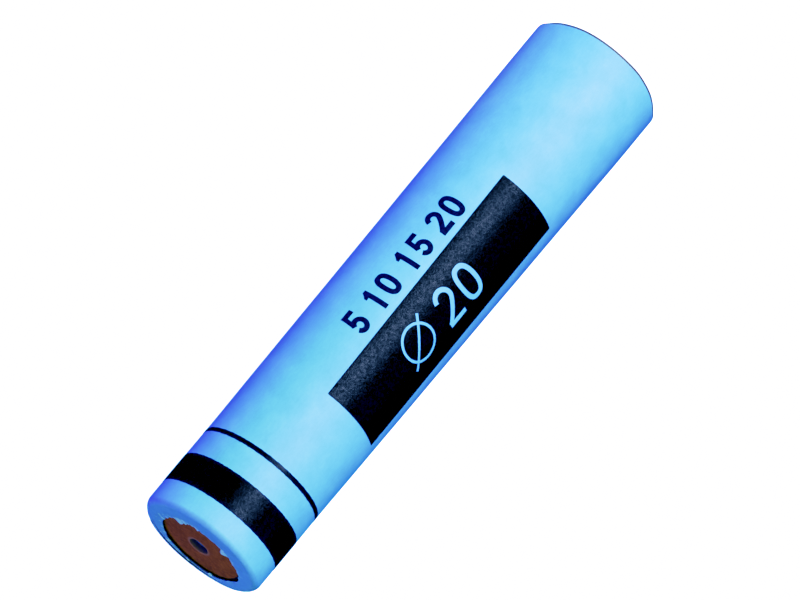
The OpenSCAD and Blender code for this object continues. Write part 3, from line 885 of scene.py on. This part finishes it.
outer_sheet.data.materials.append(m_paper)
outer_sheet.data.materials.append(m_inside)
inner_sheet.data.materials.append(m_inside)
lap_flap.data.materials.append(m_paper)
glue_line.data.materials.append(m_glue)
base_board_disc.data.materials.append(m_board)
for o in (ink_panel, ink_wide_band, ink_thin_band):
    o.data.materials.append(m_ink)
ink_numerals.data.materials.append(m_navy)

# the CAD nodes that these pieces stand for get the same finishes, for any view that shows them
for node, mat in (("outer_turn", m_paper), ("rolled_rim", m_paper), ("seam_flap", m_paper), ("inner_turn", m_inside), ("seam_glue", m_glue),
                  ("base_disc", m_board), ("printed_panel", m_ink), ("printed_wide_band", m_ink), ("printed_thin_band", m_ink), ("printed_numerals", m_navy)):
    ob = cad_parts[node]
    ob.data.materials.clear()
    ob.data.materials.append(mat)

# ---------------------------------------------------------------- pieces on their bodies
for piece, body, nodes, slot in (
        (outer_sheet, "sleeve", ("outer_turn", "rolled_rim"), "sleeve_paper"),
        (inner_sheet, "sleeve", ("inner_turn",), "sleeve_paper_inside"),
        (lap_flap, "sleeve", ("seam_flap",), "sleeve_paper"),
        (glue_line, "sleeve", ("seam_glue",), "glue"),
        (base_board_disc, "base_disc", ("base_disc",), "board"),
        (ink_panel, "sleeve", ("printed_panel",), "ink"),
        (ink_numerals, "sleeve", ("printed_numerals",), "ink"),
        (ink_wide_band, "sleeve", ("printed_wide_band",), "ink"),
        (ink_thin_band, "sleeve", ("printed_thin_band",), "ink")):
    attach(piece, body)
    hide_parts(*nodes)


# ---------------------------------------------------------------- stage
WHITE = (0.96, 1.36, 2.22)            # what the grade turns to white


def emitter(name, colour, strength, diffuse=None):
    m = bpy.data.materials.new(name)
    m.use_nodes = True
    t = m.node_tree
    t.nodes.clear()
    out = t.nodes.new("ShaderNodeOutputMaterial")
    e = t.nodes.new("ShaderNodeEmission")
    e.inputs[0].default_value = (*colour, 1)
    e.inputs[1].default_value = strength
    if diffuse is None:
        t.links.new(e.outputs[0], out.inputs[0])
    else:
        d = t.nodes.new("ShaderNodeBsdfDiffuse")
        d.inputs[0].default_value = (diffuse, diffuse, diffuse, 1)
        a = t.nodes.new("ShaderNodeAddShader")
        t.links.new(e.outputs[0], a.inputs[0])
        t.links.new(d.outputs[0], a.inputs[1])
        t.links.new(a.outputs[0], out.inputs[0])
    return m


def camera_only(ob):
    ob.visible_diffuse = ob.visible_glossy = ob.visible_transmission = ob.visible_shadow = ob.visible_volume_scatter = False


NR = 96
ang = np.linspace(0, 2 * math.pi, NR, endpoint=False)
ring_v = [(0, 0, 0)] + [(2.0 * math.cos(a), 2.0 * math.sin(a), 0.0) for a in ang]
floor = add_mesh("floor", ring_v, [(0, 1 + k, 1 + (k + 1) % NR) for k in range(NR)], sharp=None)
floor.data.materials.append(emitter("floor_pale", WHITE, 0.99, 0.25))
camera_only(floor)
els = np.radians(np.linspace(0, 90, 20))
dv = [(2.0 * math.cos(e) * math.cos(a), 2.0 * math.cos(e) * math.sin(a), 2.0 * math.sin(e)) for e in els[:-1] for a in ang] + [(0, 0, 2.0)]
df = [tuple(f) for f in grid_faces(len(els) - 1, NR, flip=True)] + [((len(els) - 2) * NR + (k + 1) % NR, (len(els) - 2) * NR + k, (len(els) - 1) * NR) for k in range(NR)]
dome = add_mesh("backdrop", dv, df, sharp=None)
dome.data.materials.append(emitter("backdrop_pale", WHITE, 1.02))
camera_only(dome)

world = bpy.data.worlds.new("studio")
bpy.context.scene.world = world
world.use_nodes = True
bg = world.node_tree.nodes.get("Background") or world.node_tree.nodes.new("ShaderNodeBackground")
wt = world.node_tree
up = wt.nodes.new("ShaderNodeTexCoord")
sx = wt.nodes.new("ShaderNodeSeparateXYZ")
mr = wt.nodes.new("ShaderNodeMapRange")
for k, v in enumerate((-0.5, 0.2, 0.15, 0.46)):
    mr.inputs[k + 1].default_value = v
wt.links.new(up.outputs["Generated"], sx.inputs[0])
wt.links.new(sx.outputs["Z"], mr.inputs[0])
wt.links.new(mr.outputs[0], bg.inputs[1])
bg.inputs[0].default_value = (0.57, 0.20, 1.0, 1)


def softbox(name, direction, distance, size, power, colour=(1, 1, 1), size_y=None):
    d = Vector(direction).normalized()
    l = bpy.data.lights.new(name, "AREA")
    l.shape = "RECTANGLE" if size_y else "DISK"
    l.size = size
    if size_y:
        l.size_y = size_y
    l.energy = power
    l.color = colour
    ob = bpy.data.objects.new(name, l)
    bpy.context.scene.collection.objects.link(ob)
    ob.location = Vector((0, 0, ZA * MM)) + d * distance
    ob.rotation_mode = "QUATERNION"
    ob.rotation_quaternion = (-d).to_track_quat("-Z", "Y")
    ob.visible_camera = False
    return ob


softbox("main", (0.34, -0.50, 0.79), 0.9, 0.26, 13.0, (0.985, 0.640, 0.754))
softbox("base_side", (-0.93, -0.10, 0.35), 0.9, 0.5, 5.0, (0.94, 0.68, 0.0)).visible_glossy = False
softbox("mouth_side", (0.90, -0.10, 0.42), 0.9, 0.5, 11.3, (0.726, 1.0, 0.61))
softbox("left_low", (0.0, 0.985, -0.17), 0.9, 0.5, 4.35, (0.95, 0.0, 1.0)).visible_glossy = False
softbox("left_mouth", (0.75, 0.60, 0.30), 0.9, 0.5, 3.8, (0.25, 0.10, 1.0))
softbox("left_base", (-0.75, 0.60, 0.25), 0.9, 0.5, 2.1, (0.0, 0.0, 1.0))
softbox("right_low", (0.1, -0.95, 0.10), 0.9, 0.6, 1.2, (0.0, 0.1, 1.0))
softbox("base_low", (-0.98, 0.03, -0.12), 0.9, 0.4, 1.7, (0.4, 0.08, 1.0))
softbox("base_right", (-0.80, -0.60, 0.0), 0.075, 0.03, 0.0024, (0.25, 1.0, 0.0))

# ---------------------------------------------------------------- camera
cam_data = bpy.data.cameras.new("camera")
cam = bpy.data.objects.new("camera", cam_data)
bpy.context.scene.collection.objects.link(cam)
cam_data.sensor_fit = "HORIZONTAL"
cam_data.sensor_width = 36.0
cam_data.lens = 5418.156 * 36.0 / 800.0
cam_data.clip_start, cam_data.clip_end = 0.05, 20.0
right, down, fwd = Vector((0.596228136, -0.802815053, 0.0)), Vector((-0.71449807, -0.5306376, -0.45597835)), Vector((0.36606628, 0.27186712, -0.88999087))
m = Matrix.Identity(4)
for k, v in enumerate((right, -down, -fwd)):
    for i in range(3):
        m[i][k] = v[i]
m.translation = Vector((-294.324, -218.401, 728.586)) * MM
cam.matrix_world = m
bpy.context.scene.camera = cam

# ---------------------------------------------------------------- grade: soft shoulder, then a power for each channel
sc = bpy.context.scene
sc.view_settings.view_transform = "Standard"
sc.view_settings.look = "None"
sc.use_nodes = True
t = sc.node_tree
t.nodes.clear()
rl_ = t.nodes.new("CompositorNodeRLayers")
cv = t.nodes.new("CompositorNodeCurveRGB")
cv.inputs["White Level"].default_value = (2.2, 2.2, 2.2, 1)
knee = [(0.0, 0.0), (0.65, 0.65), (0.73, 0.698), (0.8, 0.73), (0.94, 0.77), (1.08, 0.80)]
per_channel = (
    [(0.0, 0.0), (0.61, 0.61), (0.70, 0.70), (0.95, 1.0), (2.2, 1.0)],
    knee + [(1.12, 0.815), (1.35, 1.0), (2.2, 1.0)],
    knee + [(1.3, 0.87), (1.6, 0.925), (1.8, 0.965), (2.2, 1.0)])
for c, pts_curve in zip(cv.mapping.curves, per_channel):
    while len(c.points) < len(pts_curve):
        c.points.new(0.5, 0.5)
    for p, (a, b) in zip(c.points, pts_curve):
        p.location = (a / 2.2, b)
        p.handle_type = "VECTOR"
cv.mapping.update()
sep = t.nodes.new("CompositorNodeSeparateColor")
com = t.nodes.new("CompositorNodeCombineColor")
out = t.nodes.new("CompositorNodeComposite")
t.links.new(rl_.outputs["Image"], cv.inputs["Image"])
t.links.new(cv.outputs[0], sep.inputs[0])
for k, (g, toe) in enumerate(((1.82, 0.0), (1.18, 0.005), (0.89, 0.011))):
    last = sep.outputs[k]
    for op, val in (("SUBTRACT", toe), ("MULTIPLY", 1 / (1 - toe)), ("MAXIMUM", 0.0), ("POWER", g)):
        mn = t.nodes.new("CompositorNodeMath")
        mn.operation = op
        mn.inputs[1].default_value = val
        t.links.new(last, mn.inputs[0])
        last = mn.outputs[0]
    t.links.new(last, com.inputs[k])
t.links.new(com.outputs[0], out.inputs[0])
